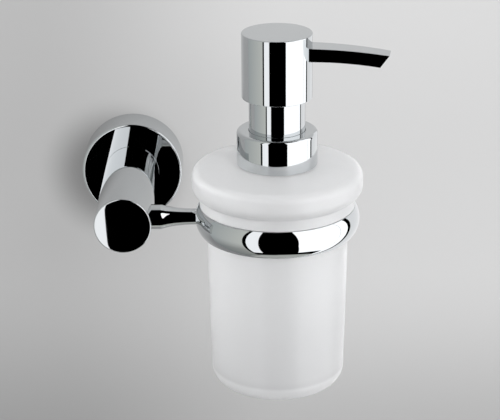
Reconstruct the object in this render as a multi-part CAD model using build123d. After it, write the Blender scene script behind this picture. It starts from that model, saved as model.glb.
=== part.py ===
from build123d import *
from math import cos, pi, radians, sin, sqrt, tan
import os

# Wall soap dispenser: a chrome bracket holds a ring, and a frosted glass bottle with a
# hand pump hangs in the ring by its bulb.
# Millimetres. The origin is on the wall at the centre of the rosette. +Z is up, +X runs
# along the arm, the wall is the plane y = 0 and the room is on the -Y side.

# Wall bracket
ROSETTE_DIA = 51.2
ROSETTE_DEPTH = 17.5
ROSETTE_WALL = 2.2
ROSETTE_FACE = 2.5
ROSETTE_EDGE = 1.3
PLATE_THICKNESS = 5.0
PLATE_EDGE = 0.6
SCREW_HOLE_DIA = 5.2
SCREW_HOLE_INSET = 7.2
GRUB_DIA = 4.0
GRUB_LENGTH = 5.0
GRUB_SINK = 0.4
GRUB_KEY = 2.0
GRUB_KEY_DEPTH = 2.0
POST_DIA = 27.4
POST_LENGTH = 75.0
POST_EDGE = 0.7
POST_CROWN = 0.7
POST_ROOT_EDGE = 0.35
POST_SPIGOT_DIA = 12.0
POST_SPIGOT_SHORT = 0.1
POST_SCREW_DIA = 8.0
POST_SCREW_LENGTH = 20.0
POST_SCREW_FLATS = 13.0
POST_SCREW_HEAD = 5.0
POST_TAP_SPARE = 4.0
POST_WASHER_DIA = 18.0
POST_WASHER_THICKNESS = 1.4

# Arm and ring
ARM_SETBACK = 15.5
ARM_DIA = 12.0
ARM_TIP_DIA = 7.7
ARM_PLAIN = 3.7
ARM_SHOULDER = 1.4
ARM_TAPER = 4.1
ARM_ROOT_SPIGOT_DIA = 8.0
ARM_ROOT_SPIGOT = 8.0
ARM_TIP_SPIGOT_DIA = 4.4
RING_DROP = 1.1
RING_HEIGHT = 13.0
RING_THICKNESS = 4.25
RING_LIP = 2.0
RING_PIN_STOP = 1.3
LINER_WALL = 0.65
LINER_SHORT = 0.3
LINER_LIP = 0.8
LINER_LIP_THICKNESS = 0.6
BOTTLE_OFFSET = 73.5

# Glass bottle
SIDE_TOP_DIA = 68.6
SIDE_BASE_DIA = 64.6
SIDE_HEIGHT = 92.3
BASE_CORNER = 8.0
BASE_THICKNESS = 5.3
FLOOR_CORNER = 6.0
GLASS_WALL = 3.0
BULB_OVERHANG = 6.5
BULB_HEIGHT = 18.3
BAND_STEP = 2.9
BAND_HEIGHT = 5.7
BAND_EDGE = 0.6
BAND_FILLET = 1.0
UNDERSIDE_HEIGHT = 4.8
UNDERSIDE_INNER_RADIUS = 3.0
SHOULDER_RADIUS = 4.0
TOP_SLOPE = 5.6
NECK_HEIGHT = 11.0
NECK_WALL = 3.5
NECK_FILLET = 1.5
INNER_FILLET = 1.0

# Pump body, with the barrel down inside the bottle
BARREL_BORE = 13.6
BARREL_WALL = 1.4
NECK_ROOM = 2.3
GASKET_THICKNESS = 1.2
FLANGE_THICKNESS = 1.5
FLANGE_INSET = 0.2
SPRING_ROOM = 37.2
BALL_DIA = 5.0
BALL_CHAMBER = 5.0
BALL_PORT_DIA = 3.2
BALL_SEAT_LENGTH = 2.0
TUBE_DIA = 6.0
TUBE_BORE = 4.0
TUBE_SOCKET = 9.0
TUBE_SOCKET_WALL = 1.2
TUBE_FLOOR_GAP = 2.0
TUBE_END_CUT = 2.5
GUIDE_PLUG = 6.0
GUIDE_FLANGE = 1.5
GUIDE_FLANGE_INSET = 1.1

# Stem, piston and return spring
STROKE = 13.0
STEM_DIA = 8.0
STEM_BORE = 4.0
STEM_SHOULDER_DIA = 11.2
STEM_SHOULDER = 1.5
STEM_TAIL = 5.0
STEM_PORT_DIA = 2.4
STEM_PORT_DROP = 3.0
PISTON_HEIGHT = 7.0
PISTON_LIP = 1.6
PISTON_WAIST = 0.9
PISTON_TOP_GAP = 0.3
SPRING_WIRE = 1.0
SPRING_DIA = 10.4
SPRING_TURNS = 9

# Collar and guide sleeve
THREAD_ROOM = 1.3
INSERT_WALL = 2.6
INSERT_RAISE = 1.8
COLLAR_WALL = 1.3
COLLAR_TOP_WALL = 1.6
COLLAR_EDGE = 1.8
COLLAR_MOUTH_EDGE = 0.4
SLEEVE_DIA = 26.7
SLEEVE_WALL = 1.0
SLEEVE_FLANGE = 1.2
SLEEVE_LAP = 3.0
SLEEVE_EDGE = 0.3

# Pump head and spout
HEAD_LIP = 3.0
HEAD_LIP_HEIGHT = 1.5
HEAD_WALL = 1.5
HEAD_TOP_WALL = 1.5
HEAD_EDGE = 0.6
HEAD_SKIRT_GAP = 3.1
CORE_HEIGHT = 13.2
CORE_BOSS = 8.0
CORE_BOSS_WALL = 3.0
CORE_STEM_RISE = 2.0
SPOUT_TURN = 8.5
SPOUT_REACH = 36.0
SPOUT_DROP = 5.8
SPOUT_FALL = 2.5
SPOUT_BOW = 0.65
SPOUT_ROOT_HEIGHT = 6.4
SPOUT_TIP_HEIGHT = 5.8
SPOUT_ROOT_WIDTH = 12.0
SPOUT_TIP_WIDTH = 9.2
SPOUT_UNDERCUT = 4.2
SPOUT_TANG = 5.0
SPOUT_EDGE = 0.25
NOZZLE_DIA = 4.0
NOZZLE_BORE = 2.8

# Clearances
SEAT = 0.05      # spigots, screws and pins in their holes, and pieces that slide or turn as a fit
SLIP = 0.2       # covers that slip over what they hide
RUN = 0.3        # pieces that move past each other with room to spare
TURN_GAP = 0.1   # flat faces that turn on each other

# Derived places of the bracket, as distances from the wall
rosette_r = ROSETTE_DIA / 2
rosette_inner_r = rosette_r - ROSETTE_WALL
rosette_inner_depth = ROSETTE_DEPTH - ROSETTE_FACE
plate_r = rosette_inner_r - SLIP
screw_hole_r = SCREW_HOLE_DIA / 2
screw_pitch_r = plate_r - SCREW_HOLE_INSET
grub_depth = PLATE_THICKNESS / 2
grub_hole_r = GRUB_DIA / 2 + SEAT
grub_out = rosette_r - GRUB_SINK
grub_in = grub_out - GRUB_LENGTH
post_r = POST_DIA / 2
post_front = ROSETTE_DEPTH + POST_LENGTH
post_spigot_back = rosette_inner_depth + POST_SPIGOT_SHORT
washer_back = rosette_inner_depth - POST_WASHER_THICKNESS
screw_tip = washer_back + POST_SCREW_LENGTH
arm_depth = post_front - ARM_SETBACK
arm_z = -RING_DROP

# Derived places of the ring and the bottle
bottle_x = BOTTLE_OFFSET
bottle_y = -arm_depth
seat_r = SIDE_TOP_DIA / 2
liner_inner_r = seat_r + RUN
ring_bore_r = liner_inner_r + LINER_WALL
ring_outer_r = ring_bore_r + RING_THICKNESS
ring_top = arm_z + RING_HEIGHT / 2
ring_bottom = ring_top - RING_HEIGHT
seat_z = ring_top + TURN_GAP
base_z = seat_z - SIDE_HEIGHT
floor_z = base_z + BASE_THICKNESS
bulb_r = seat_r + BULB_OVERHANG
shoulder_z = seat_z + BULB_HEIGHT
band_r = seat_r + BAND_STEP
band_z = seat_z + BAND_HEIGHT
under_z = band_z + UNDERSIDE_HEIGHT
top_rise = tan(radians(TOP_SLOPE))
barrel_r = BARREL_BORE / 2
barrel_outer_r = barrel_r + BARREL_WALL
neck_bore_r = barrel_outer_r + NECK_ROOM
neck_r = neck_bore_r + NECK_WALL


def glass_top(radius):
    """Height of the bottle's sloping top at a distance from its axis."""
    return shoulder_z + (bulb_r - radius) * top_rise


rim_z = glass_top(neck_r) + NECK_HEIGHT

# Derived places of the pump, upwards from the bottle's rim
flange_bottom = rim_z + GASKET_THICKNESS
flange_top = flange_bottom + FLANGE_THICKNESS
flange_r = neck_r - FLANGE_INSET
insert_bore_r = neck_r + THREAD_ROOM
collar_inner_r = insert_bore_r + INSERT_WALL
collar_r = collar_inner_r + COLLAR_WALL
collar_bottom = glass_top(collar_inner_r) + RUN
sleeve_r = SLEEVE_DIA / 2
sleeve_inner_r = sleeve_r - SLEEVE_WALL
sleeve_bottom = flange_top + TURN_GAP
collar_ceiling = sleeve_bottom + SLEEVE_FLANGE
collar_top = collar_ceiling + COLLAR_TOP_WALL
head_bottom = collar_top + STROKE + HEAD_SKIRT_GAP
sleeve_top = head_bottom + SLEEVE_LAP
core_bottom = sleeve_top + STROKE + RUN
core_top = core_bottom + CORE_HEIGHT
head_top = core_top + HEAD_TOP_WALL
head_lip_r = sleeve_r + RUN
head_r = head_lip_r + HEAD_LIP
head_inner_r = head_r - HEAD_WALL

# Derived places of the pump, downwards from its flange
stem_r = STEM_DIA / 2
stem_hole_r = stem_r + SEAT
guide_plug_bottom = flange_top - GUIDE_PLUG
piston_top = guide_plug_bottom - PISTON_TOP_GAP
piston_bottom = piston_top - PISTON_HEIGHT
shoulder_bottom = piston_bottom - STEM_SHOULDER
barrel_floor = shoulder_bottom - SPRING_ROOM
ball_r = BALL_DIA / 2
ball_chamber_r = ball_r + RUN
ball_floor = barrel_floor - BALL_CHAMBER
ball_z = ball_floor + sqrt(ball_r**2 - (BALL_PORT_DIA / 2) ** 2) + SEAT
tube_r = TUBE_DIA / 2
tube_top = ball_floor - BALL_SEAT_LENGTH
tube_bottom = floor_z + TUBE_FLOOR_GAP
socket_r = tube_r + SEAT + TUBE_SOCKET_WALL
core_boss_bottom = core_bottom - CORE_BOSS
stem_top = core_bottom + CORE_STEM_RISE
spout_top = head_top - SPOUT_DROP
spout_root_x = head_r
spout_tip_x = spout_root_x + SPOUT_REACH
spout_tip_top = spout_top - SPOUT_FALL
nozzle_root_z = spout_top - SPOUT_ROOT_HEIGHT / 2
nozzle_r = NOZZLE_DIA / 2
core_chamber_top = nozzle_root_z + nozzle_r

# Places that turn a piece's own frame into the assembly
from_wall = Rot(90, 0, 0)
on_bottle_axis = Pos(bottle_x, bottle_y, 0)
on_spout_line = on_bottle_axis * Rot(0, 0, -SPOUT_TURN)


def rod(radius, low, high):
    """A round bar along Z from one height to another."""
    return Pos(0, 0, low) * Cylinder(radius, high - low, align=(Align.CENTER, Align.CENTER, Align.MIN))


def cross_rod(radius, left, right):
    """A round bar along X from one place to another."""
    return Rot(0, 90, 0) * rod(radius, left, right)


def turned(*outline):
    """A solid of revolution about Z from the lines of its half section, as (radius, height)."""
    return revolve(make_face(Plane.XZ * Curve(children=[*outline])), Axis.Z)


def rounded_end(solid, radius, end):
    """The solid with the edge of its lowest (0) or highest (-1) face rounded."""
    return fillet(solid.edges().group_by(Axis.Z)[end], radius)


# Wall bracket, modelled along Z as the distance from the wall, with Y up
def wall_plate():
    plate = chamfer(rod(plate_r, 0, PLATE_THICKNESS).edges().group_by(Axis.Z)[-1], PLATE_EDGE)
    for side in (-1, 1):
        plate -= Pos(side * screw_pitch_r, 0, 0) * rod(screw_hole_r, 0, PLATE_THICKNESS)
    return from_wall * (plate - grub_hole())


def grub_hole():
    return Pos(0, 0, grub_depth) * Rot(90, 0, 0) * rod(grub_hole_r, grub_in - SEAT, rosette_r + SLIP)


def rosette():
    cup = rounded_end(rod(rosette_r, 0, ROSETTE_DEPTH), ROSETTE_EDGE, -1)
    cup -= rod(rosette_inner_r, 0, rosette_inner_depth)
    cup -= rod(POST_SPIGOT_DIA / 2 + SEAT, rosette_inner_depth, ROSETTE_DEPTH)
    return from_wall * (cup - grub_hole())


def grub_screw():
    screw = rod(GRUB_DIA / 2, grub_in, grub_out)
    key = extrude(RegularPolygon(GRUB_KEY / 2, 6, major_radius=False), GRUB_KEY_DEPTH)
    screw -= Pos(0, 0, grub_out - GRUB_KEY_DEPTH) * key
    return from_wall * Pos(0, 0, grub_depth) * Rot(90, 0, 0) * screw


def post():
    middle = (0, post_front)
    rim = (post_r, post_front - POST_CROWN)
    bar = turned(
        Polyline(
            middle,
            (0, ROSETTE_DEPTH),
            (post_r - POST_ROOT_EDGE, ROSETTE_DEPTH),
            (post_r, ROSETTE_DEPTH + POST_ROOT_EDGE),
            rim,
        ),
        TangentArc(middle, rim, tangent=(1, 0)),
    )
    rim_edge = bar.edges().filter_by(lambda edge: edge.is_closed).sort_by(Axis.Z)[-1]
    bar = fillet(rim_edge, POST_EDGE)
    bar += rod(POST_SPIGOT_DIA / 2, post_spigot_back, ROSETTE_DEPTH)
    bar -= rod(POST_SCREW_DIA / 2 + SEAT, post_spigot_back, screw_tip + POST_TAP_SPARE)
    arm_hole = cross_rod(ARM_ROOT_SPIGOT_DIA / 2 + SEAT, post_r - ARM_ROOT_SPIGOT, post_r)
    return from_wall * (bar - Pos(0, arm_z, arm_depth) * arm_hole)


def post_screw():
    screw = rod(POST_SCREW_DIA / 2, washer_back, screw_tip)
    head = extrude(RegularPolygon(POST_SCREW_FLATS / 2, 6, major_radius=False), POST_SCREW_HEAD)
    return from_wall * (screw + Pos(0, 0, washer_back - POST_SCREW_HEAD) * head)


def post_washer():
    washer = rod(POST_WASHER_DIA / 2, washer_back, rosette_inner_depth)
    return from_wall * (washer - rod(POST_SCREW_DIA / 2 + SLIP, washer_back, rosette_inner_depth))


# Arm and ring
def ring_section(inner_r):
    lip_r = ring_bore_r + RING_LIP
    return turned(
        Polyline((lip_r, ring_top), (inner_r, ring_top), (inner_r, ring_bottom), (lip_r, ring_bottom)),
        ThreePointArc((lip_r, ring_bottom), (ring_outer_r, arm_z), (lip_r, ring_top)),
    )


def arm():
    plain_end = post_r + ARM_PLAIN
    tip_x = bottle_x - ring_outer_r + RING_THICKNESS / 2
    outline = Curve(children=[
        Polyline((0, 0), (0, ARM_DIA / 2), (plain_end, ARM_DIA / 2)),
        Bezier(
            (plain_end, ARM_DIA / 2),
            (plain_end + ARM_SHOULDER, ARM_DIA / 2),
            (plain_end + ARM_TAPER, ARM_TIP_DIA / 2),
            (tip_x, ARM_TIP_DIA / 2),
        ),
        Polyline((tip_x, ARM_TIP_DIA / 2), (tip_x, 0), (0, 0)),
    ])
    on_arm_line = Pos(0, -arm_depth, arm_z)
    bar = on_arm_line * revolve(make_face(outline), Axis.X)
    bar -= from_wall * rod(post_r, ROSETTE_DEPTH, post_front)
    bar -= on_bottle_axis * ring_section(0)
    spigots = cross_rod(ARM_ROOT_SPIGOT_DIA / 2, post_r - ARM_ROOT_SPIGOT, plain_end)
    spigots += cross_rod(ARM_TIP_SPIGOT_DIA / 2, plain_end, bottle_x - ring_bore_r - RING_PIN_STOP)
    return bar + on_arm_line * spigots


def ring():
    hole = cross_rod(ARM_TIP_SPIGOT_DIA / 2 + SEAT, -ring_outer_r, -ring_bore_r - RING_PIN_STOP)
    return on_bottle_axis * (ring_section(ring_bore_r) - Pos(0, 0, arm_z) * hole)


def ring_liner():
    sleeve = rod(ring_bore_r, ring_bottom, ring_top - LINER_SHORT)
    sleeve += rod(ring_bore_r + LINER_LIP, ring_bottom - LINER_LIP_THICKNESS, ring_bottom)
    return on_bottle_axis * (sleeve - rod(liner_inner_r, ring_bottom - LINER_LIP_THICKNESS, ring_top))


# Glass bottle
def glass_bottle():
    base_r = SIDE_BASE_DIA / 2
    inner_bulb_r = bulb_r - GLASS_WALL
    lid = GLASS_WALL / cos(radians(TOP_SLOPE))
    inner_shoulder = max(SHOULDER_RADIUS - GLASS_WALL, INNER_FILLET)
    outside = [
        FilletPolyline((0, base_z), (base_r, base_z), (seat_r, seat_z), radius=BASE_CORNER),
        FilletPolyline((seat_r, seat_z), (band_r, seat_z), (band_r, band_z), radius=BAND_EDGE),
        TangentArc((bulb_r, under_z), (band_r, band_z), tangent=(0, -1)),
        FilletPolyline(
            (bulb_r, under_z),
            (bulb_r, shoulder_z),
            (neck_r, glass_top(neck_r)),
            (neck_r, rim_z),
            radius=[SHOULDER_RADIUS, NECK_FILLET],
        ),
    ]
    inside = FilletPolyline(
        (neck_bore_r, rim_z),
        (neck_bore_r, glass_top(neck_bore_r) - lid),
        (inner_bulb_r, glass_top(inner_bulb_r) - lid),
        (inner_bulb_r, under_z),
        (seat_r - GLASS_WALL, seat_z + GLASS_WALL),
        (base_r - GLASS_WALL, floor_z),
        (0, floor_z),
        radius=[
            INNER_FILLET,
            inner_shoulder,
            UNDERSIDE_INNER_RADIUS,
            UNDERSIDE_INNER_RADIUS,
            FLOOR_CORNER,
        ],
    )
    rim = Line((neck_r, rim_z), (neck_bore_r, rim_z))
    axis = Line((0, floor_z), (0, base_z))
    glass = turned(*outside, rim, inside, axis)
    hollow = glass.edges().filter_by_position(Axis.Z, band_z - SEAT, band_z + SEAT)
    return on_bottle_axis * fillet(hollow, BAND_FILLET)


# Pump body
def neck_gasket():
    gasket = rod(flange_r, rim_z, flange_bottom)
    return on_bottle_axis * (gasket - rod(barrel_outer_r + SEAT, rim_z, flange_bottom))


def pump_housing():
    body = rod(flange_r, flange_bottom, flange_top)
    body += rod(barrel_outer_r, ball_floor, flange_top)
    body += rod(socket_r, tube_top - TUBE_SOCKET, ball_floor)
    body -= rod(barrel_r, barrel_floor, flange_top)
    body -= rod(ball_chamber_r, ball_floor, barrel_floor)
    body -= rod(BALL_PORT_DIA / 2, tube_top, ball_floor)
    body -= rod(tube_r + SEAT, tube_top - TUBE_SOCKET, tube_top)
    return on_bottle_axis * body


def stem_guide():
    guide = rod(barrel_r - SEAT, guide_plug_bottom, flange_top)
    guide += rod(sleeve_inner_r - GUIDE_FLANGE_INSET, flange_top, flange_top + GUIDE_FLANGE)
    return on_bottle_axis * (guide - rod(stem_hole_r, guide_plug_bottom, flange_top + GUIDE_FLANGE))


def dip_tube():
    tube = rod(tube_r, tube_bottom, tube_top) - rod(TUBE_BORE / 2, tube_bottom, tube_top)
    slant = make_face(Plane.XZ * Polyline(
        (-tube_r, tube_bottom), (tube_r, tube_bottom), (tube_r, tube_bottom + TUBE_END_CUT), close=True
    ))
    return on_bottle_axis * (tube - extrude(slant, tube_r, both=True))


def check_ball():
    return on_bottle_axis * Pos(0, 0, ball_z) * Sphere(ball_r)


# Stem, piston and spring
def stem():
    bar = rod(stem_r, shoulder_bottom - STEM_TAIL, stem_top)
    bar += rod(STEM_SHOULDER_DIA / 2, shoulder_bottom, piston_bottom)
    port_z = shoulder_bottom - STEM_PORT_DROP
    bar -= rod(STEM_BORE / 2, port_z, stem_top)
    bar -= Pos(0, 0, port_z) * cross_rod(STEM_PORT_DIA / 2, -stem_r, stem_r)
    return on_bottle_axis * bar


def piston():
    lip_r = barrel_r - SEAT
    waist_r = lip_r - PISTON_WAIST
    middle = (piston_top + piston_bottom) / 2
    upper = (lip_r, piston_top - PISTON_LIP)
    lower = (lip_r, piston_bottom + PISTON_LIP)
    bore = [(stem_r, piston_bottom), (stem_r, piston_top)]
    return on_bottle_axis * turned(
        Polyline(lower, (lip_r, piston_bottom), *bore, (lip_r, piston_top), upper),
        ThreePointArc(upper, (waist_r, middle), lower),
    )


def biarc(start, leaving, end, arriving):
    """Two tangent arcs that join two points with a given direction at each."""
    span = end - start
    a = 2 * (leaving.dot(arriving) - 1)
    b = -2 * span.dot(leaving + arriving)
    reach = (-b - sqrt(b * b - 4 * a * span.dot(span))) / (2 * a)
    near = start + leaving * reach
    far = end - arriving * reach
    middle = (near + far) * 0.5
    return [
        Edge.make_tangent_arc(start, leaving, middle),
        Edge.make_tangent_arc(middle, far - near, end),
    ]


def return_spring():
    coil_r = SPRING_DIA / 2
    low = barrel_floor + SPRING_WIRE / 2 + SEAT
    high = shoulder_bottom - SPRING_WIRE / 2 - SEAT
    climb = (high - low) / (2 * pi * SPRING_TURNS)

    def point(angle):
        return Vector(coil_r * cos(angle), coil_r * sin(angle), low + climb * angle)

    def direction(angle):
        return Vector(-coil_r * sin(angle), coil_r * cos(angle), climb).normalized()

    steps = [pi * half_turn for half_turn in range(2 * SPRING_TURNS + 1)]
    arcs = []
    for before, after in zip(steps, steps[1:]):
        arcs += biarc(point(before), direction(before), point(after), direction(after))
    next_turn = [point(2 * pi + angle / 50) for angle in range(-50, 51)]
    least_gap = min((place - point(0)).length for place in next_turn) - SPRING_WIRE
    print(f"return_spring least gap to itself {least_gap:.2f} mm")
    section = Plane(point(0), z_dir=direction(0)) * Circle(SPRING_WIRE / 2)
    return on_bottle_axis * sweep(section, path=Wire(arcs))


# Collar and guide sleeve
def collar():
    cap = rounded_end(rod(collar_r, collar_bottom, collar_top), COLLAR_EDGE, -1)
    cap -= rod(collar_inner_r, collar_bottom, collar_ceiling)
    cap -= rod(sleeve_r + SEAT, collar_ceiling, collar_top)
    mouth = cap.edges().group_by(Axis.Z)[-1].sort_by(SortBy.RADIUS)[0]
    return on_bottle_axis * fillet(mouth, COLLAR_MOUTH_EDGE)


def collar_insert():
    low = collar_bottom + INSERT_RAISE
    bush = rod(collar_inner_r, low, sleeve_bottom)
    return on_bottle_axis * (bush - rod(insert_bore_r, low, sleeve_bottom))


def guide_sleeve():
    sleeve = rounded_end(rod(sleeve_r, sleeve_bottom, sleeve_top), SLEEVE_EDGE, -1)
    sleeve += rod(collar_inner_r - SLIP, sleeve_bottom, collar_ceiling)
    return on_bottle_axis * (sleeve - rod(sleeve_inner_r, sleeve_bottom, sleeve_top))


# Pump head, modelled with the spout along +X and then turned to its resting direction
def spout_bar(grow):
    """The spout's bar from inside the head to its undercut tip, grown all round by a clearance."""
    back_x = head_inner_r - SPOUT_TANG
    upper_z = spout_top + grow
    lower_z = spout_top - SPOUT_ROOT_HEIGHT - grow
    root_upper = (spout_root_x, upper_z)
    root_lower = (spout_root_x, lower_z)
    tip_upper = (spout_tip_x, spout_tip_top + grow)
    tip_lower = (spout_tip_x - SPOUT_UNDERCUT, spout_tip_top - SPOUT_TIP_HEIGHT - grow)
    side = make_face(Plane.XZ * Curve(children=[
        Polyline(root_lower, (back_x, lower_z), (back_x, upper_z), root_upper),
        SagittaArc(root_upper, tip_upper, SPOUT_BOW),
        Line(tip_upper, tip_lower),
        SagittaArc(tip_lower, root_lower, -SPOUT_BOW),
    ]))
    half_root = SPOUT_ROOT_WIDTH / 2 + grow
    half_tip = SPOUT_TIP_WIDTH / 2 + grow
    plan = make_face(Polyline(
        (back_x, -half_root), (spout_root_x, -half_root), (spout_tip_x, -half_tip),
        (spout_tip_x, half_tip), (spout_root_x, half_root), (back_x, half_root), close=True,
    ))
    bar = extrude(side, half_root, both=True)
    bar &= Pos(0, 0, core_bottom) * extrude(plan, head_top - core_bottom)
    long_edges = bar.edges().filter_by(lambda edge: edge.length > SPOUT_REACH / 2)
    return fillet(long_edges, SPOUT_EDGE)


def nozzle_line(radius):
    """A round bar along the middle of the spout, from the chamber over the stem out past the tip."""
    start = (stem_hole_r, nozzle_root_z)
    root = (spout_root_x, nozzle_root_z)
    tip = (spout_tip_x, spout_tip_top - SPOUT_TIP_HEIGHT / 2)
    path = Plane.XZ * Curve(children=[Line(start, root), TangentArc(root, tip, tangent=(1, 0))])
    section = Plane((stem_hole_r, 0, nozzle_root_z), z_dir=(1, 0, 0)) * Circle(radius)
    return sweep(section, path=Wire(path.edges()))


def spout():
    return on_spout_line * (spout_bar(0) - nozzle_line(nozzle_r + SEAT))


def nozzle_tube():
    tube = nozzle_line(nozzle_r) - nozzle_line(NOZZLE_BORE / 2)
    beyond = make_face(Plane.XZ * Polyline(
        (spout_tip_x, spout_tip_top),
        (spout_tip_x - SPOUT_UNDERCUT, spout_tip_top - SPOUT_TIP_HEIGHT),
        (spout_tip_x + SPOUT_UNDERCUT, spout_tip_top - SPOUT_TIP_HEIGHT),
        close=True,
    ))
    return on_spout_line * (tube - extrude(beyond, SPOUT_TIP_WIDTH, both=True))


def head_shell():
    cap = rounded_end(rod(head_r, head_bottom, head_top), HEAD_EDGE, -1)
    cap -= rod(head_inner_r, head_bottom + HEAD_LIP_HEIGHT, core_top)
    cap -= rod(head_lip_r, head_bottom, head_bottom + HEAD_LIP_HEIGHT)
    return on_spout_line * (cap - spout_bar(SEAT))


def head_core():
    core = rod(head_inner_r, core_bottom, core_top)
    core += rod(stem_hole_r + CORE_BOSS_WALL, core_boss_bottom, core_bottom)
    core -= rod(stem_hole_r, core_boss_bottom, core_chamber_top)
    core -= nozzle_line(nozzle_r + SEAT)
    return on_spout_line * (core - spout_bar(SEAT))


pieces = [
    wall_plate, rosette, grub_screw, post, post_screw, post_washer, arm, ring, ring_liner,
    glass_bottle,
    neck_gasket, pump_housing, stem_guide, dip_tube, check_ball,
    stem, piston, return_spring,
    collar, collar_insert, guide_sleeve,
    head_shell, head_core, spout, nozzle_tube,
]
os.makedirs("parts", exist_ok=True)
for piece in pieces:
    export_step(piece(), f"parts/{piece.__name__}.step")
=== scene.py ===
import bmesh
import bpy
from math import cos, pi, radians, sin, tan
from mathutils import Matrix, Vector
from mathutils.geometry import interpolate_bezier


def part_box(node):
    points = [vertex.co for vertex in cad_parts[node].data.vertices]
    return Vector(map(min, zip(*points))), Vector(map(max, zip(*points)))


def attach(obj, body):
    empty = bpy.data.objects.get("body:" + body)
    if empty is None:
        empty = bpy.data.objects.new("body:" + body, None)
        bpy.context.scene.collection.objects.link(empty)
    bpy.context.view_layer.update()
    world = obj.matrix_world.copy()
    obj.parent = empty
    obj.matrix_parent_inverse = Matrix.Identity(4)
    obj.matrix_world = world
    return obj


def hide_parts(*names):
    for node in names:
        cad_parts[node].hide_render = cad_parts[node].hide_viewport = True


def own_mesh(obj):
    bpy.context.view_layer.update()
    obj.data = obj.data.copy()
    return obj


# Wall soap dispenser: a chrome bracket carries a ring on its arm, and a frosted glass bottle
# with a hand pump hangs in the ring. Metres, with the wall at y = 0 and the room towards -Y.
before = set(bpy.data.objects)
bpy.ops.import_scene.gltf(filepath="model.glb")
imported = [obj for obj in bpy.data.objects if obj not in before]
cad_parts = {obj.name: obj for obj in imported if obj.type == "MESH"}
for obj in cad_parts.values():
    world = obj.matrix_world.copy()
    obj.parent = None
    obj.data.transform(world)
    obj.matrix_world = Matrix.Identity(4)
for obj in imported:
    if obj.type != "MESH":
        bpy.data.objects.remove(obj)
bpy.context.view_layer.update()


# Wall plate
# A turned steel disc, zinc plated, that two screws hold against the wall. The rosette slips
# over it, so it shows only from behind.
def effect(name, inputs, output, kind):
    """A shader node group with inputs of the given names and values, and one output."""
    group = bpy.data.node_groups.new(name, "ShaderNodeTree")
    for label, value in inputs.items():
        socket = "NodeSocketColor" if isinstance(value, tuple) else "NodeSocketFloat"
        group.interface.new_socket(label, in_out="INPUT", socket_type=socket).default_value = value
    group.interface.new_socket(output, in_out="OUTPUT", socket_type=kind)
    return group, group.nodes.new("NodeGroupInput"), group.nodes.new("NodeGroupOutput")


def cloud_in(group, given, detail, stretch=(1, 1, 1)):
    """Noise over the piece's own surface, at the group's Scale input."""
    place = group.nodes.new("ShaderNodeTexCoord")
    pull = group.nodes.new("ShaderNodeMapping")
    pull.inputs["Scale"].default_value = stretch
    cloud = group.nodes.new("ShaderNodeTexNoise")
    cloud.inputs["Detail"].default_value = detail
    group.links.new(place.outputs["Object"], pull.inputs["Vector"])
    group.links.new(pull.outputs["Vector"], cloud.inputs["Vector"])
    group.links.new(given.outputs["Scale"], cloud.inputs["Scale"])
    return cloud.outputs["Fac"]


def spread_in(group, value, low, high):
    """The middle of a noise, spread over the group's own two limits."""
    spread = group.nodes.new("ShaderNodeMapRange")
    spread.inputs["From Min"].default_value = 0.35
    spread.inputs["From Max"].default_value = 0.65
    group.links.new(value, spread.inputs["Value"])
    group.links.new(low, spread.inputs["To Min"])
    group.links.new(high, spread.inputs["To Max"])
    return spread.outputs["Result"]


def colour_mix(tree):
    """A mix of two colours: its node, its two colour inputs and its result."""
    mix = tree.nodes.new("ShaderNodeMix")
    mix.data_type = "RGBA"
    return mix, mix.inputs[6], mix.inputs[7], mix.outputs[2]


def tone_effect():
    """Two tones that drift into each other, as plating, moulding and frosting do."""
    tones = {"Scale": 60.0, "Light": (1.0, 1.0, 1.0, 1.0), "Dark": (0.8, 0.8, 0.8, 1.0)}
    group, given, made = effect("tone_drift", tones, "Tone", "NodeSocketColor")
    mix, first, second, result = colour_mix(group)
    group.links.new(cloud_in(group, given, 2.0), mix.inputs["Factor"])
    group.links.new(given.outputs["Dark"], first)
    group.links.new(given.outputs["Light"], second)
    group.links.new(result, made.inputs["Tone"])
    return group


def sheen_effect():
    """Roughness that wanders between two limits, as on a surface that hands and cloths touch."""
    limits = {"Scale": 60.0, "Low": 0.2, "High": 0.4}
    group, given, made = effect("sheen_drift", limits, "Roughness", "NodeSocketFloat")
    cloud = cloud_in(group, given, 3.0)
    sheen = spread_in(group, cloud, given.outputs["Low"], given.outputs["High"])
    group.links.new(sheen, made.inputs["Roughness"])
    return group


def grain_effect(name, stretch):
    """Fine relief for a bump: even grain, or lines where the noise is stretched."""
    group, given, made = effect(name, {"Scale": 4000.0}, "Height", "NodeSocketFloat")
    group.links.new(cloud_in(group, given, 2.0, stretch), made.inputs["Height"])
    return group


tone_drift = tone_effect()
sheen_drift = sheen_effect()
fine_grain = grain_effect("fine_grain", (1, 1, 1))
drawn_lines = grain_effect("drawn_lines", (1, 0.03, 1))


def put(tree, group, **values):
    """One of the shared effects, placed in a material with its own values."""
    node = tree.nodes.new("ShaderNodeGroup")
    node.node_tree = group
    for label, value in values.items():
        node.inputs[label].default_value = value
    return node


def make_finish(name, light, dark, tone_scale, smooth, rough, sheen_scale):
    """A material whose colour and roughness drift over the surface."""
    material = bpy.data.materials.new(name)
    material.use_nodes = True
    tree = material.node_tree
    shader = tree.nodes["Principled BSDF"]
    tone = put(tree, tone_drift, Scale=tone_scale, Light=(*light, 1), Dark=(*dark, 1))
    sheen = put(tree, sheen_drift, Scale=sheen_scale, Low=smooth, High=rough)
    tree.links.new(tone.outputs["Tone"], shader.inputs["Base Color"])
    tree.links.new(sheen.outputs["Roughness"], shader.inputs["Roughness"])
    return material, shader


def relief(material, shader, group, scale, depth):
    """A fine bump on a material."""
    tree = material.node_tree
    bump = tree.nodes.new("ShaderNodeBump")
    bump.inputs["Distance"].default_value = depth
    height = put(tree, group, Scale=scale)
    tree.links.new(height.outputs["Height"], bump.inputs["Height"])
    tree.links.new(bump.outputs["Normal"], shader.inputs["Normal"])


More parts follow.
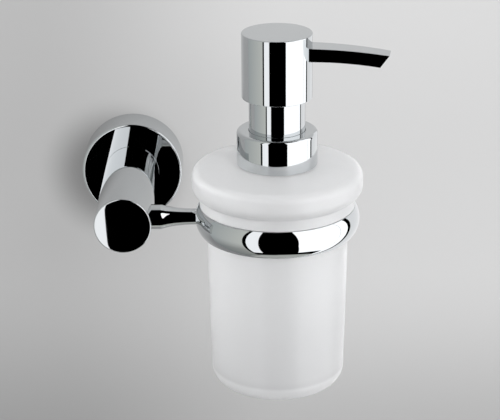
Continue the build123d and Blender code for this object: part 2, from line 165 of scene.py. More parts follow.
def dress(material, *nodes):
    """Puts a material on CAD nodes that keep their shape."""
    for node in nodes:
        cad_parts[node].material_slots[0].material = material


zinc, zinc_shader = make_finish(
    "zinc_plate",
    light=(0.62, 0.62, 0.6),
    dark=(0.5, 0.51, 0.51),
    tone_scale=180,
    smooth=0.3,
    rough=0.48,
    sheen_scale=260,
)
zinc_shader.inputs["Metallic"].default_value = 1.0
relief(zinc, zinc_shader, fine_grain, scale=2500, depth=0.00004)
dress(zinc, "wall_plate")


# Post screw, washer, grub screw and valve ball
# Plain stainless steel. The screw and its washer draw the post against the rosette from behind,
# the grub screw locks the rosette on the wall plate from below, and the ball lies in the pump.
stainless, stainless_shader = make_finish(
    "stainless",
    light=(0.66, 0.66, 0.65),
    dark=(0.55, 0.55, 0.55),
    tone_scale=300,
    smooth=0.2,
    rough=0.34,
    sheen_scale=400,
)
stainless_shader.inputs["Metallic"].default_value = 1.0
relief(stainless, stainless_shader, drawn_lines, scale=3500, depth=0.00003)
dress(stainless, "post_screw", "post_washer", "grub_screw", "check_ball")


# Rosette
# A turned brass cup, chrome plated and polished, that hides the wall plate. Its rim has a
# small round edge, and a hole from below lets a key reach the grub screw.
def soften(corners, steps=6):
    """Outline points through corners of (radius, height, rounding), with the roundings as arcs."""
    outline = []
    for place, (radius, height, rounding) in enumerate(corners):
        corner = Vector((radius, height))
        if rounding == 0:
            outline.append(corner)
            continue
        back = (Vector(corners[place - 1][:2]) - corner).normalized()
        onward = (Vector(corners[(place + 1) % len(corners)][:2]) - corner).normalized()
        half = back.angle(onward) / 2
        middle = corner + (back + onward).normalized() * rounding / sin(half)
        start = corner + back * rounding / tan(half) - middle
        end = corner + onward * rounding / tan(half) - middle
        spokes = [start.slerp(end, step / steps) for step in range(steps + 1)]
        outline += [middle + rounding * spoke for spoke in spokes]
    return outline


def add_piece(name, form):
    """A new object from a bmesh."""
    bmesh.ops.recalc_face_normals(form, faces=form.faces)
    mesh = bpy.data.meshes.new(name)
    form.to_mesh(mesh)
    form.free()
    piece = bpy.data.objects.new(name, mesh)
    bpy.context.scene.collection.objects.link(piece)
    return piece


def turn(name, outline, place, closed=False, sides=192):
    """A turned piece: an outline of (radius, height) spun about Z and then put in its place."""
    form = bmesh.new()
    rings = []
    for radius, height in outline:
        count = sides if radius > 1e-7 else 1
        angles = [2 * pi * side / count for side in range(count)]
        rings.append([form.verts.new((radius * cos(a), radius * sin(a), height)) for a in angles])
    ends = rings[1:] + rings[:1] if closed else rings[1:]
    for lower, upper in zip(rings, ends):
        for side in range(sides):
            low = [lower[side % len(lower)], lower[(side + 1) % len(lower)]]
            high = [upper[(side + 1) % len(upper)], upper[side % len(upper)]]
            form.faces.new(list(dict.fromkeys(low + high)))
    form.transform(place)
    return add_piece(name, form)


def bore(piece, radius, start, end, sides=48):
    """Cuts a round hole through a piece from one point to another."""
    axis = Vector(end) - Vector(start)
    length = axis.length
    place = Matrix.Translation(start) @ axis.to_track_quat("Z", "Y").to_matrix().to_4x4()
    cutter = turn("cutter", [(0, 0), (radius, 0), (radius, length), (0, length)], place, sides=sides)
    cut = piece.modifiers.new("hole", "BOOLEAN")
    cut.object = cutter
    cut.solver = "EXACT"
    bpy.context.view_layer.update()
    seen = piece.evaluated_get(bpy.context.evaluated_depsgraph_get())
    piece.data = bpy.data.meshes.new_from_object(seen)
    piece.modifiers.clear()
    bpy.data.objects.remove(cutter)


def fit(piece, material, slot, body, *nodes, crease=30):
    """Gives a piece its shading, its finish and its place in the frame."""
    piece.data.shade_smooth()
    piece.data.set_sharp_from_angle(angle=radians(crease))
    piece.modifiers.new("even_shading", "WEIGHTED_NORMAL").keep_sharp = True
    piece.data.materials.clear()
    piece.data.materials.append(material)
    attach(piece, body)
    if nodes:
        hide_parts(*nodes)


chrome, chrome_shader = make_finish(
    "chrome",
    light=(0.62, 0.64, 0.65),
    dark=(0.59, 0.61, 0.62),
    tone_scale=25,
    smooth=0.01,
    rough=0.03,
    sheen_scale=90,
)
chrome_shader.inputs["Metallic"].default_value = 1.0

from_wall = Matrix.Rotation(pi / 2, 4, "X")
rosette_low, rosette_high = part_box("rosette")
rosette_radius = rosette_high.x
rosette_depth = -rosette_low.y
rosette_wall = 0.0022
rosette_face = 0.0025
rosette_edge = 0.0013
rosette_inside = rosette_depth - rosette_face
rosette_bore = rosette_radius - rosette_wall
spigot_radius = 0.00605
rosette = turn(
    "rosette_cup",
    soften([
        (spigot_radius, rosette_inside, 0),
        (rosette_bore, rosette_inside, 0),
        (rosette_bore, 0, 0),
        (rosette_radius, 0, 0),
        (rosette_radius, rosette_depth, rosette_edge),
        (spigot_radius, rosette_depth, 0),
    ]),
    from_wall,
    closed=True,
)
grub_low, grub_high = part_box("grub_screw")
grub_clearance = 0.00005
grub_hole_radius = (grub_high.x - grub_low.x) / 2 + grub_clearance
grub_y = (grub_low.y + grub_high.y) / 2
cut_past = 0.001
grub_hole_top = (0, grub_y, -rosette_bore + cut_past)
grub_hole_foot = (0, grub_y, -rosette_radius - cut_past)
bore(rosette, grub_hole_radius, grub_hole_top, grub_hole_foot)
fit(rosette, chrome, "chrome", "holder", "rosette")


# Post
# A thick brass bar, turned, polished and chrome plated. Its front end is slightly crowned, and
# its back end stands on the rosette, where the hidden screw holds it.
post_low, post_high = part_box("post")
post_radius = post_high.x
post_front = -post_low.y
post_crown = 0.0007
post_edge = 0.0007
post_root_edge = 0.00035
crown_steps = 12
crown_radius = post_radius - post_edge
crown = [crown_radius * (1 - step / crown_steps) for step in range(1, crown_steps + 1)]
post = turn(
    "post_bar",
    soften([
        (0, rosette_inside, 0),
        (spigot_radius, rosette_inside, 0),
        (spigot_radius, rosette_depth, 0),
        (post_radius - post_root_edge, rosette_depth, 0),
        (post_radius, rosette_depth + post_root_edge, 0),
        (post_radius, post_front - post_crown, post_edge),
        *[(radius, post_front - post_crown * (radius / post_radius) ** 2, 0) for radius in crown],
    ]),
    from_wall,
)
fit(post, chrome, "chrome", "holder", "post")


# Arm
# A slim turned bar, chrome plated, that leaves the post's side with a plain root and draws in
# to a waist before it meets the ring. A spigot at each end holds it.
along_arm = Matrix.Rotation(pi / 2, 4, "Y")
ring_low, ring_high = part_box("ring")
arm_low, arm_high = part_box("arm")
arm_y = (arm_low.y + arm_high.y) / 2
arm_z = (arm_low.z + arm_high.z) / 2
arm_radius = (arm_high.z - arm_low.z) / 2
arm_tip_radius = 0.00385
arm_plain_length = 0.0037
arm_in_ring = 0.0021
arm_root = post_radius / 2
arm_plain_end = post_radius + arm_plain_length
arm_tip = ring_low.x + arm_in_ring
waist_start = 0.0014
waist_end = 0.0041
waist_steps = 40
arm_curve = interpolate_bezier(
    Vector((arm_radius, arm_plain_end)),
    Vector((arm_radius, arm_plain_end + waist_start)),
    Vector((arm_tip_radius, arm_plain_end + waist_end)),
    Vector((arm_tip_radius, arm_tip)),
    waist_steps,
)
arm = turn(
    "arm_bar",
    [(0, arm_root), (arm_radius, arm_root), *arm_curve, (0, arm_tip)],
    Matrix.Translation((0, arm_y, arm_z)) @ along_arm,
)
fit(arm, chrome, "chrome", "holder", "arm")


# Ring and liner
# A forged ring of D section, round outside and flat inside, polished and chrome plated. A thin
# pale plastic liner keeps the glass off the metal.
bottle_low, bottle_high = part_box("glass_bottle")
bottle_x = (bottle_low.x + bottle_high.x) / 2
bottle_y = (bottle_low.y + bottle_high.y) / 2
bottle_axis = Matrix.Translation((bottle_x, bottle_y, 0))
ring_thickness = 0.00425
ring_flat = 0.002
ring_radius = (ring_high.y - ring_low.y) / 2
ring_bore = ring_radius - ring_thickness
ring_lip = ring_bore + ring_flat
ring_half = (ring_high.z - ring_low.z) / 2
ring_middle = (ring_high.z + ring_low.z) / 2
ring_bulge = ring_radius - ring_lip
round_radius = (ring_bulge**2 + ring_half**2) / (2 * ring_bulge)
round_reach = ring_radius - round_radius
round_steps = 40
round_limit = Vector((ring_lip - round_reach, ring_half)).angle(Vector((1, 0)))
round_angles = [round_limit * (1 - 2 * step / round_steps) for step in range(round_steps + 1)]
ring = turn(
    "ring_band",
    [
        (ring_bore, ring_low.z),
        (ring_bore, ring_high.z),
        *[(round_reach + round_radius * cos(a), ring_middle + round_radius * sin(a)) for a in round_angles],
    ],
    bottle_axis,
    closed=True,
    sides=256,
)
fit(ring, chrome, "chrome", "holder", "ring")

pale_plastic, pale_shader = make_finish(
    "liner_plastic",
    light=(0.84, 0.85, 0.85),
    dark=(0.78, 0.79, 0.79),
    tone_scale=200,
    smooth=0.35,
    rough=0.5,
    sheen_scale=300,
)
relief(pale_plastic, pale_shader, fine_grain, scale=5000, depth=0.00002)
dress(pale_plastic, "ring_liner")


# Bottle
# Mould-blown glass with an acid-frosted skin: a tapered body with a thick base, a bulb that
# hangs on the ring, a nearly flat top and a screw neck. Its finish carries painted shade that
# darkens the body towards its inner floor, with a painted dark line there, and painted light
# that keeps the base below pale, in a tone that changes with the height.
frosted, frosted_shader = make_finish(
    "frosted_glass",
    light=(0.97, 0.972, 0.975),
    dark=(0.93, 0.935, 0.94),
    tone_scale=30,
    smooth=0.42,
    rough=0.52,
    sheen_scale=120,
)
frosted_shader.inputs["IOR"].default_value = 1.45
frosted_shader.inputs["Transmission Weight"].default_value = 0.55
frosted_shader.inputs["Specular IOR Level"].default_value = 0.35
frosted_shader.inputs["Coat Weight"].default_value = 0.22
frosted_shader.inputs["Coat IOR"].default_value = 2.2
frosted_shader.inputs["Coat Roughness"].default_value = 0.28
relief(frosted, frosted_shader, fine_grain, scale=6000, depth=0.00001)

# Painted shade and light by height above the foot: the body darkens down to a painted dark band near the
# inner floor, and the base below it is kept pale.
painted_shade_by_height = {0.0: 0.98, 0.0078: 0.98, 0.0092: 0.81, 0.0125: 0.87, 0.022: 0.91, 0.055: 1.0}
painted_shade_end = max(painted_shade_by_height)
frosted_tree = frosted.node_tree
frosted_place = frosted_tree.nodes.new("ShaderNodeTexCoord")
frosted_way = frosted_tree.nodes.new("ShaderNodeSeparateXYZ")
above_base = frosted_tree.nodes.new("ShaderNodeMapRange")
above_base.inputs["From Min"].default_value = bottle_low.z
above_base.inputs["From Max"].default_value = bottle_low.z + painted_shade_end
painted_shade_ramp = frosted_tree.nodes.new("ShaderNodeValToRGB")
stops = painted_shade_ramp.color_ramp.elements
stops.remove(stops[1])
for height, level in painted_shade_by_height.items():
    stop = stops.new(height / painted_shade_end) if height else stops[0]
    stop.color = (level, level, level, 1)
# The painted shade multiplies the glass's own drifting tone.
painted_shade_mix, plain_tone, painted_shade_input, tone_with_painted_shade = colour_mix(frosted_tree)
painted_shade_mix.blend_type = "MULTIPLY"
painted_shade_mix.inputs["Factor"].default_value = 1.0
frosted_tone = frosted_shader.inputs["Base Color"].links[0].from_socket
frosted_tree.links.new(frosted_place.outputs["Object"], frosted_way.inputs["Vector"])
frosted_tree.links.new(frosted_way.outputs["Z"], above_base.inputs["Value"])
frosted_tree.links.new(above_base.outputs["Result"], painted_shade_ramp.inputs["Fac"])
frosted_tree.links.new(frosted_tone, plain_tone)
frosted_tree.links.new(painted_shade_ramp.outputs["Color"], painted_shade_input)
frosted_tree.links.new(tone_with_painted_shade, frosted_shader.inputs["Base Color"])

glass_wall = 0.003
base_thickness = 0.0053
base_radius = 0.0323
base_corner = 0.008
floor_corner = 0.006
seat_radius = 0.0343
seat_clearance = 0.0001
band_step = 0.0029
band_height = 0.0057
band_foot_round = 0.0006
band_top_round = 0.001
under_height = 0.0048
shoulder_height = 0.0183
shoulder_round = 0.004
top_slope = radians(5.6)
neck_radius = 0.014
neck_bore = 0.0105
neck_round = 0.0015
rim_round = 0.0006
inner_top_round = 0.001
inner_wall_round = 0.003
seat_z = ring_high.z + seat_clearance
band_radius = seat_radius + band_step
band_z = seat_z + band_height
under_z = band_z + under_height
shoulder_z = seat_z + shoulder_height
bulb_radius = (bottle_high.x - bottle_low.x) / 2
inner_bulb = bulb_radius - glass_wall
overhang = bulb_radius - band_radius
under_radius = (overhang**2 + under_height**2) / (2 * overhang)
under_middle = bulb_radius - under_radius
under_limit = Vector((band_radius - under_middle, under_height)).angle(Vector((1, 0)))
under_steps = 24
under_first = 5
under_angles = [under_limit * (1 - step / under_steps) for step in range(under_first, under_steps + 1)]
top_rise = tan(top_slope)
top_z = shoulder_z + bulb_radius * top_rise
inner_top_z = top_z - glass_wall / cos(top_slope)
inner_floor_z = bottle_low.z + base_thickness
bottle = turn(
    "bottle_glass",
    soften([
        (0, bottle_low.z, 0),
        (base_radius, bottle_low.z, base_corner),
        (seat_radius, seat_z, 0),
        (band_radius, seat_z, band_foot_round),
        (band_radius, band_z, band_top_round),
        *[(under_middle + under_radius * cos(a), under_z - under_radius * sin(a), 0) for a in under_angles],
        (bulb_radius, shoulder_z, shoulder_round),
        (neck_radius, top_z - neck_radius * top_rise, neck_round),
        (neck_radius, bottle_high.z, rim_round),
        (neck_bore, bottle_high.z, rim_round),
        (neck_bore, inner_top_z - neck_bore * top_rise, inner_top_round),
        (inner_bulb, inner_top_z - inner_bulb * top_rise, inner_top_round),
        (inner_bulb, under_z, inner_wall_round),
        (seat_radius - glass_wall, seat_z + glass_wall, inner_wall_round),
        (base_radius - glass_wall, inner_floor_z, floor_corner),
        (0, inner_floor_z, 0),
    ], steps=10),
    bottle_axis,
)
fit(bottle, frosted, "frosted_glass", "bottle", "glass_bottle", crease=40)


# Neck thread
# The screw thread that the pump's collar takes hold of, moulded on the glass neck: one and a
# half turns of a low ridge that fades out at both ends.
def bar(sections):
    """A closed bar through sections of four corners each."""
    form = bmesh.new()
    loops = [[form.verts.new(corner) for corner in section] for section in sections]
    for before, after in zip(loops, loops[1:]):
        for near, far in ((0, 1), (1, 2), (2, 3), (3, 0)):
            form.faces.new((before[near], before[far], after[far], after[near]))
    form.faces.new(loops[0])
    form.faces.new(loops[-1])
    return form


thread_turns = 1.5
thread_pitch = 0.003
thread_height = 0.0009
thread_foot = 0.0011
thread_crest = 0.0004
thread_sink = 0.0002
thread_below_rim = 0.0078
thread_start = bottle_high.z - thread_below_rim
thread_root = neck_radius - thread_sink
thread_steps = 120
fade = 0.08
ridge = []
for step in range(thread_steps + 1):
    share = step / thread_steps
    angle = 2 * pi * thread_turns * share
    middle = thread_start + thread_pitch * thread_turns * share
    crest = neck_radius + thread_height * min(1, share / fade, (1 - share) / fade)
    profile = [
        (thread_root, -thread_foot),
        (crest, -thread_crest),
        (crest, thread_crest),
        (thread_root, thread_foot),
    ]
    ridge.append([(radius * cos(angle), radius * sin(angle), middle + rise) for radius, rise in profile])
thread_form = bar(ridge)
thread_form.transform(bottle_axis)
thread = add_piece("neck_thread", thread_form)
fit(thread, frosted, "frosted_glass", "bottle", crease=50)


# Pump body
# White moulded plastic: the barrel with its flange and valve seat, the plug that guides the
# stem, the dip tube, the hollow stem and the piston. A rubber gasket seals it on the glass rim.
white_plastic, white_shader = make_finish(
    "pump_plastic",
    light=(0.87, 0.87, 0.85),
    dark=(0.8, 0.8, 0.78),
    tone_scale=120,
    smooth=0.35,
    rough=0.5,
    sheen_scale=250,
)
relief(white_plastic, white_shader, fine_grain, scale=4000, depth=0.00002)
dress(white_plastic, "pump_housing", "stem_guide", "dip_tube", "stem", "piston")

rubber, rubber_shader = make_finish(
    "gasket_rubber",
    light=(0.05, 0.05, 0.05),
    dark=(0.03, 0.03, 0.03),
    tone_scale=300,
    smooth=0.6,
    rough=0.8,
    sheen_scale=400,
)
relief(rubber, rubber_shader, fine_grain, scale=3000, depth=0.00004)
dress(rubber, "neck_gasket")


# Return spring
# Drawn stainless wire, coiled. It stands on the barrel's floor, lifts the stem by its shoulder,
# and shortens as the head is pressed.
spring_wire, wire_shader = make_finish(
    "spring_wire",
    light=(0.6, 0.6, 0.61),
    dark=(0.48, 0.48, 0.5),
    tone_scale=500,
    smooth=0.22,
    rough=0.36,
    sheen_scale=600,
)
wire_shader.inputs["Metallic"].default_value = 1.0
relief(spring_wire, wire_shader, drawn_lines, scale=6000, depth=0.00001)
spring_low, spring_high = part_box("return_spring")
spring_length = spring_high.z - spring_low.z
wire_radius = 0.0005
spring_turns = 9
coil_radius = (spring_high.x - spring_low.x) / 2 - wire_radius
coil_length = spring_length - 2 * wire_radius
points_per_turn = 36
last_point = spring_turns * points_per_turn
coil = bpy.data.curves.new("coil", "CURVE")
coil.dimensions = "3D"
coil.bevel_depth = wire_radius
coil.bevel_resolution = 4
coil.use_fill_caps = True
line = coil.splines.new("POLY")
line.points.add(last_point)
for step, point in enumerate(line.points):
    angle = 2 * pi * step / points_per_turn
    climb = spring_low.z + wire_radius + coil_length * step / last_point
    place = bottle_axis @ Vector((coil_radius * cos(angle), coil_radius * sin(angle), climb))
    point.co = (*place, 1)
coil_object = bpy.data.objects.new("coil", coil)
bpy.context.scene.collection.objects.link(coil_object)
bpy.context.view_layer.update()
coiled = coil_object.evaluated_get(bpy.context.evaluated_depsgraph_get())
spring = bpy.data.objects.new("spring_coil", bpy.data.meshes.new_from_object(coiled))
bpy.context.scene.collection.objects.link(spring)
bpy.data.objects.remove(coil_object)
fit(spring, spring_wire, "spring_steel", "pump", "return_spring", crease=60)
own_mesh(spring)


# Collar and its bush
# A spun brass cap, chrome plated, that holds the pump on the neck. A white plastic bush with
# the thread is pressed into it.
collar_low, collar_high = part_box("collar")
collar_radius = (collar_high.x - collar_low.x) / 2
collar_wall = 0.0013
collar_top_wall = 0.0016
collar_edge = 0.0018
collar_foot_round = 0.0003
mouth_clearance = 0.00005
mouth_round = 0.0004
sleeve_radius = 0.01335
collar_mouth = sleeve_radius + mouth_clearance
collar_inside = collar_radius - collar_wall
collar_ceiling = collar_high.z - collar_top_wall
collar = turn(
    "collar_cap",
    soften([
        (collar_mouth, collar_high.z, mouth_round),
        (collar_radius, collar_high.z, collar_edge),
        (collar_radius, collar_low.z, collar_foot_round),
        (collar_inside, collar_low.z, collar_foot_round),
        (collar_inside, collar_ceiling, 0),
        (collar_mouth, collar_ceiling, 0),
    ]),
    bottle_axis,
    closed=True,
)
fit(collar, chrome, "chrome", "collar", "collar")
dress(white_plastic, "collar_insert")


# Guide sleeve
# A short chrome tube with a flange under the collar. It stands up out of the collar and guides
# the head as it goes down.
sleeve_low, sleeve_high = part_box("guide_sleeve")
sleeve_wall = 0.001
sleeve_flange = 0.0012
sleeve_edge = 0.0003
sleeve_bore = sleeve_radius - sleeve_wall
flange_radius = (sleeve_high.x - sleeve_low.x) / 2
flange_top = sleeve_low.z + sleeve_flange
sleeve = turn(
    "sleeve_tube",
    soften([
        (sleeve_bore, sleeve_low.z, 0),
        (flange_radius, sleeve_low.z, 0),
        (flange_radius, flange_top, 0),
        (sleeve_radius, flange_top, 0),
        (sleeve_radius, sleeve_high.z, sleeve_edge),
        (sleeve_bore, sleeve_high.z, sleeve_edge),
    ]),
    bottle_axis,
    closed=True,
)
fit(sleeve, chrome, "chrome", "collar", "guide_sleeve")


# Head
# A turned brass cap, chrome plated, over a white plastic core that sits on the stem. The hand
# presses its flat top, and its skirt runs down over the guide sleeve.
head_low, head_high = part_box("head_shell")
head_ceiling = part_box("head_core")[1].z
head_radius = (head_high.x - head_low.x) / 2
head_wall = 0.0015
head_edge = 0.0006
head_foot_round = 0.0003
head_lip_bore = 0.01365
head_lip_height = 0.0015
head_lip_top = head_low.z + head_lip_height
head_inside = head_radius - head_wall
head = turn(
    "head_cap",
    soften([
        (0, head_high.z, 0),
        (head_radius, head_high.z, head_edge),
        (head_radius, head_low.z, head_foot_round),
        (head_lip_bore, head_low.z, head_foot_round),
        (head_lip_bore, head_lip_top, 0),
        (head_inside, head_lip_top, 0),
        (head_inside, head_ceiling, 0),
        (0, head_ceiling, 0),
    ]),
    bottle_axis,
)
fit(head, chrome, "chrome", "head", "head_shell")
dress(white_plastic, "head_core", "nozzle_tube")


# Spout
# A flat chrome bar, cast, ground and polished, that narrows and bows down towards its undercut
# tip. A plastic tube inside it brings the soap to the tip.
spout_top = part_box("spout")[1].z
spout_turn = radians(-8.5)
spout_in_head = 0.003
spout_root = head_radius
spout_back = head_inside - spout_in_head
spout_reach = 0.036
spout_fall = 0.0025
spout_bow = 0.00065
spout_undercut = 0.0042
root_height, tip_height = 0.0064, 0.0058
root_width, tip_width = 0.012, 0.0092
spout_edge = 0.00025
spout_steps = 32
spout_place = bottle_axis @ Matrix.Rotation(spout_turn, 4, "Z")


def spout_half_width(x):
    """Half the spout's width at a distance from the head's axis."""
    share = max(0, (x - spout_root) / spout_reach)
    return (root_width + (tip_width - root_width) * share) / 2


stations = [(spout_back, spout_top, spout_back, spout_top - root_height)]
for step in range(spout_steps + 1):
    share = step / spout_steps
    bow = 4 * spout_bow * share * (1 - share)
    upper = spout_top - spout_fall * share + bow
    lower = upper - root_height - (tip_height - root_height) * share
    upper_x = spout_root + spout_reach * share
    lower_x = spout_root + (spout_reach - spout_undercut) * share
    stations.append((upper_x, upper, lower_x, lower))
spout_sections = []
for upper_x, upper, lower_x, lower in stations:
    upper_half, lower_half = spout_half_width(upper_x), spout_half_width(lower_x)
    spout_sections.append([
        (upper_x, upper_half, upper),
        (upper_x, -upper_half, upper),
        (lower_x, -lower_half, lower),
        (lower_x, lower_half, lower),
    ])
spout_form = bar(spout_sections)
spout_form.normal_update()
sharp = [edge for edge in spout_form.edges if edge.calc_face_angle(0) > radians(45)]
bmesh.ops.bevel(spout_form, geom=sharp, offset=spout_edge, segments=4, profile=0.5, affect="EDGES")
spout_form.transform(spout_place)
spout = add_piece("spout_bar", spout_form)
nozzle_bore = 0.00205
nozzle_depth = 0.012
nozzle_past = 0.002
mouth_setback = 0.002
_, tip_top, _, tip_foot = stations[-1]
mouth_z = (tip_top + tip_foot) / 2
nozzle_slope = 2 * spout_fall / spout_reach
nozzle_start_x = spout_root + spout_reach - nozzle_depth
nozzle_start_z = mouth_z + (nozzle_depth - mouth_setback) * nozzle_slope
nozzle_end_x = spout_root + spout_reach + nozzle_past
nozzle_end_z = mouth_z - (nozzle_past + mouth_setback) * nozzle_slope
bore(
    spout,
    nozzle_bore,
    spout_place @ Vector((nozzle_start_x, 0, nozzle_start_z)),
    spout_place @ Vector((nozzle_end_x, 0, nozzle_end_z)),
)
fit(spout, chrome, "chrome", "head", "spout", crease=15)


# Wall and floor
# A smooth wall whose colour carries painted light and shade: paler up to the right, where the
# light comes from, darker towards the bottom, and a painted shadow next to the rosette. For the
# eye, polished metal and glass it mostly glows with that painted tone. A pale floor lies well
# below. Both are open from behind, so that the back and the underside of the fitting can be
# looked at.
def plain_sheet(name, place, width):
    """A square sheet of the stage, flat in its own XY plane."""
    half = width / 2
    corners = ((-half, -half, 0), (half, -half, 0), (half, half, 0), (-half, half, 0))
    form = bmesh.new()
    form.faces.new([form.verts.new(corner) for corner in corners])
    mesh = bpy.data.meshes.new(name)
    form.to_mesh(mesh)
    form.free()
    sheet = bpy.data.objects.new(name, mesh)
    sheet.matrix_world = place
    bpy.context.scene.collection.objects.link(sheet)
    return sheet


wall_gap = 0.0004
wall_width = 4.0
wall = plain_sheet("wall", Matrix.Translation((0, wall_gap, 0)) @ from_wall, wall_width)
wall_paint = bpy.data.materials.new("wall_paint")
wall_paint.use_nodes = True
wall_tree = wall_paint.node_tree
wall_shader = wall_tree.nodes["Principled BSDF"]
wall_shader.inputs["Roughness"].default_value = 0.9
wall_shader.inputs["Specular IOR Level"].default_value = 0.1
wall_place = wall_tree.nodes.new("ShaderNodeTexCoord")
wall_way = wall_tree.nodes.new("ShaderNodeSeparateXYZ")
wall_tree.links.new(wall_place.outputs["Object"], wall_way.inputs["Vector"])
# Middle of a painted shadow on the wall, a little left of and below the rosette's middle.
shade_middle = (-0.01, -0.006, 0)
from_shade = wall_tree.nodes.new("ShaderNodeVectorMath")
from_shade.operation = "DISTANCE"
from_shade.inputs[1].default_value = shade_middle
wall_tree.links.new(wall_place.outputs["Object"], from_shade.inputs[0])


def wall_shade(way, start, end, start_tone, end_tone):
    """A soft step in the wall's painted light and shade between two places along a way over it."""
    step = wall_tree.nodes.new("ShaderNodeMapRange")
    step.interpolation_type = "SMOOTHSTEP"
    limits = {"From Min": start, "From Max": end, "To Min": start_tone, "To Max": end_tone}
    for label, value in limits.items():
        step.inputs[label].default_value = value
    wall_tree.links.new(way, step.inputs["Value"])
    return step.outputs["Result"]


def wall_sum(operation, first, second):
    """Two values of the wall's shading put together, each from a socket or as a plain number."""
    node = wall_tree.nodes.new("ShaderNodeMath")
    node.operation = operation
    for socket, value in zip(node.inputs, (first, second)):
        if isinstance(value, float):
            socket.default_value = value
        else:
            wall_tree.links.new(value, socket)
    return node.outputs["Value"]


# Painted light and shade over the wall: paler to the right and up, darker towards the bottom.
painted_light_across = wall_shade(wall_way.outputs["X"], start=-0.05, end=0.085, start_tone=0.487, end_tone=0.69)
below = wall_shade(wall_way.outputs["Y"], start=-0.18, end=-0.06, start_tone=0.68, end_tone=1.0)
above = wall_shade(wall_way.outputs["Y"], start=0.0, end=0.1, start_tone=1.0, end_tone=1.06)
# Painted shadow next to the rosette: half the tone close to it, fading out further away.
painted_rosette_shadow = wall_shade(from_shade.outputs["Value"], start=0.016, end=0.042, start_tone=0.5, end_tone=1.0)
lengthwise = wall_sum("MULTIPLY", painted_light_across, below)
painted_wall_tone = wall_sum("MULTIPLY", lengthwise, wall_sum("MULTIPLY", above, painted_rosette_shadow))
wall_tree.links.new(painted_wall_tone, wall_shader.inputs["Base Color"])
# The wall glows with its painted light and shade for the eye, polished metal and glass.
wall_glow = wall_tree.nodes.new("ShaderNodeEmission")
wall_tree.links.new(painted_wall_tone, wall_glow.inputs["Color"])
wall_path = wall_tree.nodes.new("ShaderNodeLightPath")
in_metal, in_glass = wall_path.outputs["Is Glossy Ray"], wall_path.outputs["Is Transmission Ray"]
seen_in_pieces = wall_sum("MAXIMUM", in_metal, in_glass)
seen = wall_sum("MAXIMUM", wall_path.outputs["Is Camera Ray"], seen_in_pieces)
glow_share = 0.75
wall_look = wall_tree.nodes.new("ShaderNodeMixShader")
wall_tree.links.new(wall_sum("MULTIPLY", seen, glow_share), wall_look.inputs["Fac"])
wall_tree.links.new(wall_shader.outputs["BSDF"], wall_look.inputs[1])
wall_tree.links.new(wall_glow.outputs["Emission"], wall_look.inputs[2])


def open_behind(tree, look):
    """Lets the eye through a sheet's back, so that the fitting can be looked at from there."""
    side = tree.nodes.new("ShaderNodeNewGeometry")
    clear = tree.nodes.new("ShaderNodeBsdfTransparent")
    choice = tree.nodes.new("ShaderNodeMixShader")
    tree.links.new(side.outputs["Backfacing"], choice.inputs["Fac"])
    tree.links.new(look, choice.inputs[1])
    tree.links.new(clear.outputs["BSDF"], choice.inputs[2])
    tree.links.new(choice.outputs["Shader"], tree.nodes["Material Output"].inputs["Surface"])


open_behind(wall_tree, wall_look.outputs["Shader"])
wall.data.materials.append(wall_paint)

floor_z = -0.32
floor_width = 6.0
floor = plain_sheet("floor", Matrix.Translation((0, 0, floor_z)), floor_width)
floor.visible_glossy = False
floor_paint = bpy.data.materials.new("floor_paint")
floor_paint.use_nodes = True
floor_shader = floor_paint.node_tree.nodes["Principled BSDF"]
floor_shader.inputs["Base Color"].default_value = (0.55, 0.55, 0.55, 1)
floor_shader.inputs["Roughness"].default_value = 0.8
open_behind(floor_paint.node_tree, floor_shader.outputs["BSDF"])
floor.data.materials.append(floor_paint)


# Studio cards
# Tall cards stand round the front of the fitting, black, white and grey. Only polished metal and
# the sheen of the glass see them, so they draw the reflections and light nothing else.
card_paint = bpy.data.materials.new("card_paint")
card_paint.use_nodes = True
card_tree = card_paint.node_tree
card_tree.nodes.remove(card_tree.nodes["Principled BSDF"])
card_glow = card_tree.nodes.new("ShaderNodeEmission")
card_colour = card_tree.nodes.new("ShaderNodeVertexColor")
card_colour.layer_name = "colour"
card_tree.links.new(card_colour.outputs["Color"], card_glow.inputs["Color"])
card_tree.links.new(card_glow.outputs["Emission"], card_tree.nodes["Material Output"].inputs["Surface"])


def card(name, rows):
    """A sheet through rows of (place, colour), each row with as many places as the others."""
    mesh = bpy.data.meshes.new(name)
    form = bmesh.new()
    tints = form.verts.layers.float_color.new("colour")
    lines = []
    for row in rows:
        line = []
        for place, colour in row:
            vert = form.verts.new(place)
            vert[tints] = (*colour, 1)
            line.append(vert)
        lines.append(line)
    for lower, upper in zip(lines, lines[1:]):
        for side in range(len(lower) - 1):
            form.faces.new((lower[side], lower[side + 1], upper[side + 1], upper[side]))
    form.to_mesh(mesh)
    form.free()
    board = bpy.data.objects.new(name, mesh)
    board.matrix_world = bottle_axis
    bpy.context.scene.collection.objects.link(board)
    mesh.materials.append(card_paint)
    board.visible_camera = False
    board.visible_diffuse = False
    board.visible_transmission = False
    board.visible_shadow = False


def bend(radius, height, start, end, start_colour, end_colour=None):
    """A row along an arc about the bottle, between two bearings from the front."""
    steps = 24
    last_colour = start_colour if end_colour is None else end_colour
    row = []
    for step in range(steps + 1):
        share = step / steps
        bearing = radians(start + (end - start) * share)
        colour = Vector(start_colour).lerp(Vector(last_colour), share)
        row.append(((radius * sin(bearing), -radius * cos(bearing), height), colour))
    return row


black = (0.0, 0.0, 0.0)
left_white = (1.35, 1.35, 1.37)
right_white = (1.7, 1.7, 1.72)
near_white = (1.05, 1.05, 1.06)
room_far = Vector((0.47, 0.5, 0.5))
room_near = Vector((0.7, 0.71, 0.67))
under_grey = room_near * 0.8

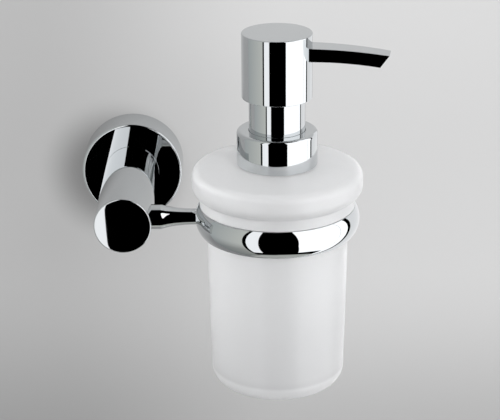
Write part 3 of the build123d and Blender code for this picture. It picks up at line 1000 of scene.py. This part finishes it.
close_radius = 0.34
front_radius = 0.345
room_start, room_end = -103, -46.5
left_start, left_end = -41.5, -25
room_levels = ((-1.3, 0.4), (-0.3, 0.6), (-0.1, 1.0), (1.4, 1.0))
card("card_room", [
    bend(close_radius, z, room_start, room_end, room_far * level, room_near * level)
    for z, level in room_levels
])
card("card_front", [bend(front_radius, z, room_end, 0, black) for z in (-0.775, 1.4)])
card("card_left", [bend(close_radius, z, left_start, left_end, left_white) for z in (-0.44, 0.5)])

right_radius = 1.2
far_radius = 1.25
right_end = 93
low_z, high_z = -1.75, 1.65
right_starts = ((low_z, 38), (-0.46, 28), (high_z, 25))
ground_z = -1.76
card("card_far", [bend(far_radius, z, left_end, right_end, black) for z in (ground_z, 2.6)])
card("card_right", [bend(right_radius, z, start, right_end, right_white) for z, start in right_starts])

wall_y = 0.074
near_start, gap_start, side_start, side_end = 0.055, 0.2125, 0.2915, 1.2
near_top = 0.09
near_edges, near_ends = (near_start, gap_start), (low_z, near_top)
gap_edges, side_edges = (gap_start, side_start), (side_start, side_end)
card("card_near", [[((x, wall_y, z), near_white) for x in near_edges] for z in near_ends])
card("card_gap", [[((x, wall_y, z), black) for x in gap_edges] for z in (low_z, high_z)])
card("card_side", [[((x, wall_y, z), right_white) for x in side_edges] for z in (low_z, high_z)])

under_card_z = -1.0
under_card_reaches = (0.0, 0.46)
top_card_z = 1.42
card("card_floor", [[((x, y, ground_z), black) for x in (-1.5, 1.5)] for y in (-1.5, wall_y)])
card("card_under", [bend(reach, under_card_z, -100, 100, under_grey) for reach in under_card_reaches])
card("card_top", [[((x, y, top_card_z), black) for x in (-0.4, 1.3)] for y in (-1.4, -0.06)])


# Light
# A soft lamp stands in front, above and to the right. A wide one on the left fills in without a
# shadow of its own, and the room round them is evenly pale.
def lamp(name, place, size, power):
    """A square lamp turned to the bottle. Polished metal shows the cards and not the lamp."""
    data = bpy.data.lights.new(name, "AREA")
    data.size = size
    data.energy = power
    light = bpy.data.objects.new(name, data)
    light.location = place
    light.rotation_euler = (bottle_axis.translation - Vector(place)).to_track_quat("-Z", "Y").to_euler()
    light.visible_glossy = False
    bpy.context.scene.collection.objects.link(light)
    return data


lamp("key", place=(0.75, -1.3, 0.8), size=0.6, power=6)
lamp("fill", place=(-1.3, 0.3, 0.4), size=1.2, power=12).use_shadow = False

room_strength = 1.15
change_in_metal = -0.35
change_to_camera = -0.15
world = bpy.data.worlds.new("room")
bpy.context.scene.world = world
world.use_nodes = True
room_tree = world.node_tree
room = room_tree.nodes["Background"]
room.inputs["Color"].default_value = (0.8, 0.8, 0.81, 1)
path = room_tree.nodes.new("ShaderNodeLightPath")
for_metal = room_tree.nodes.new("ShaderNodeMath")
for_metal.operation = "MULTIPLY_ADD"
for_metal.inputs[1].default_value = change_in_metal
for_metal.inputs[2].default_value = room_strength
for_camera = room_tree.nodes.new("ShaderNodeMath")
for_camera.operation = "MULTIPLY_ADD"
for_camera.inputs[1].default_value = change_to_camera
room_tree.links.new(path.outputs["Is Glossy Ray"], for_metal.inputs[0])
room_tree.links.new(path.outputs["Is Camera Ray"], for_camera.inputs[0])
room_tree.links.new(for_metal.outputs["Value"], for_camera.inputs[2])
room_tree.links.new(for_camera.outputs["Value"], room.inputs["Strength"])
bpy.context.scene.view_settings.view_transform = "Standard"


# Camera
# The photograph's own view: its place, lens and tilt were found from the outlines of the
# rosette, the ring and the head.
camera_data = bpy.data.cameras.new("camera")
camera_data.lens = 122.4
camera_data.sensor_width = 36
camera = bpy.data.objects.new("camera", camera_data)
camera_place = (0.062255, -0.835864, 0.303052)
camera_pitch = radians(21.638)
camera_yaw = radians(-0.139)
camera_roll = radians(-0.498)
camera.matrix_world = (
    Matrix.Translation(camera_place)
    @ Matrix.Rotation(-camera_yaw, 4, "Z")
    @ Matrix.Rotation(pi / 2 - camera_pitch, 4, "X")
    @ Matrix.Rotation(camera_roll, 4, "Z")
)
bpy.context.scene.collection.objects.link(camera)
bpy.context.scene.camera = camera
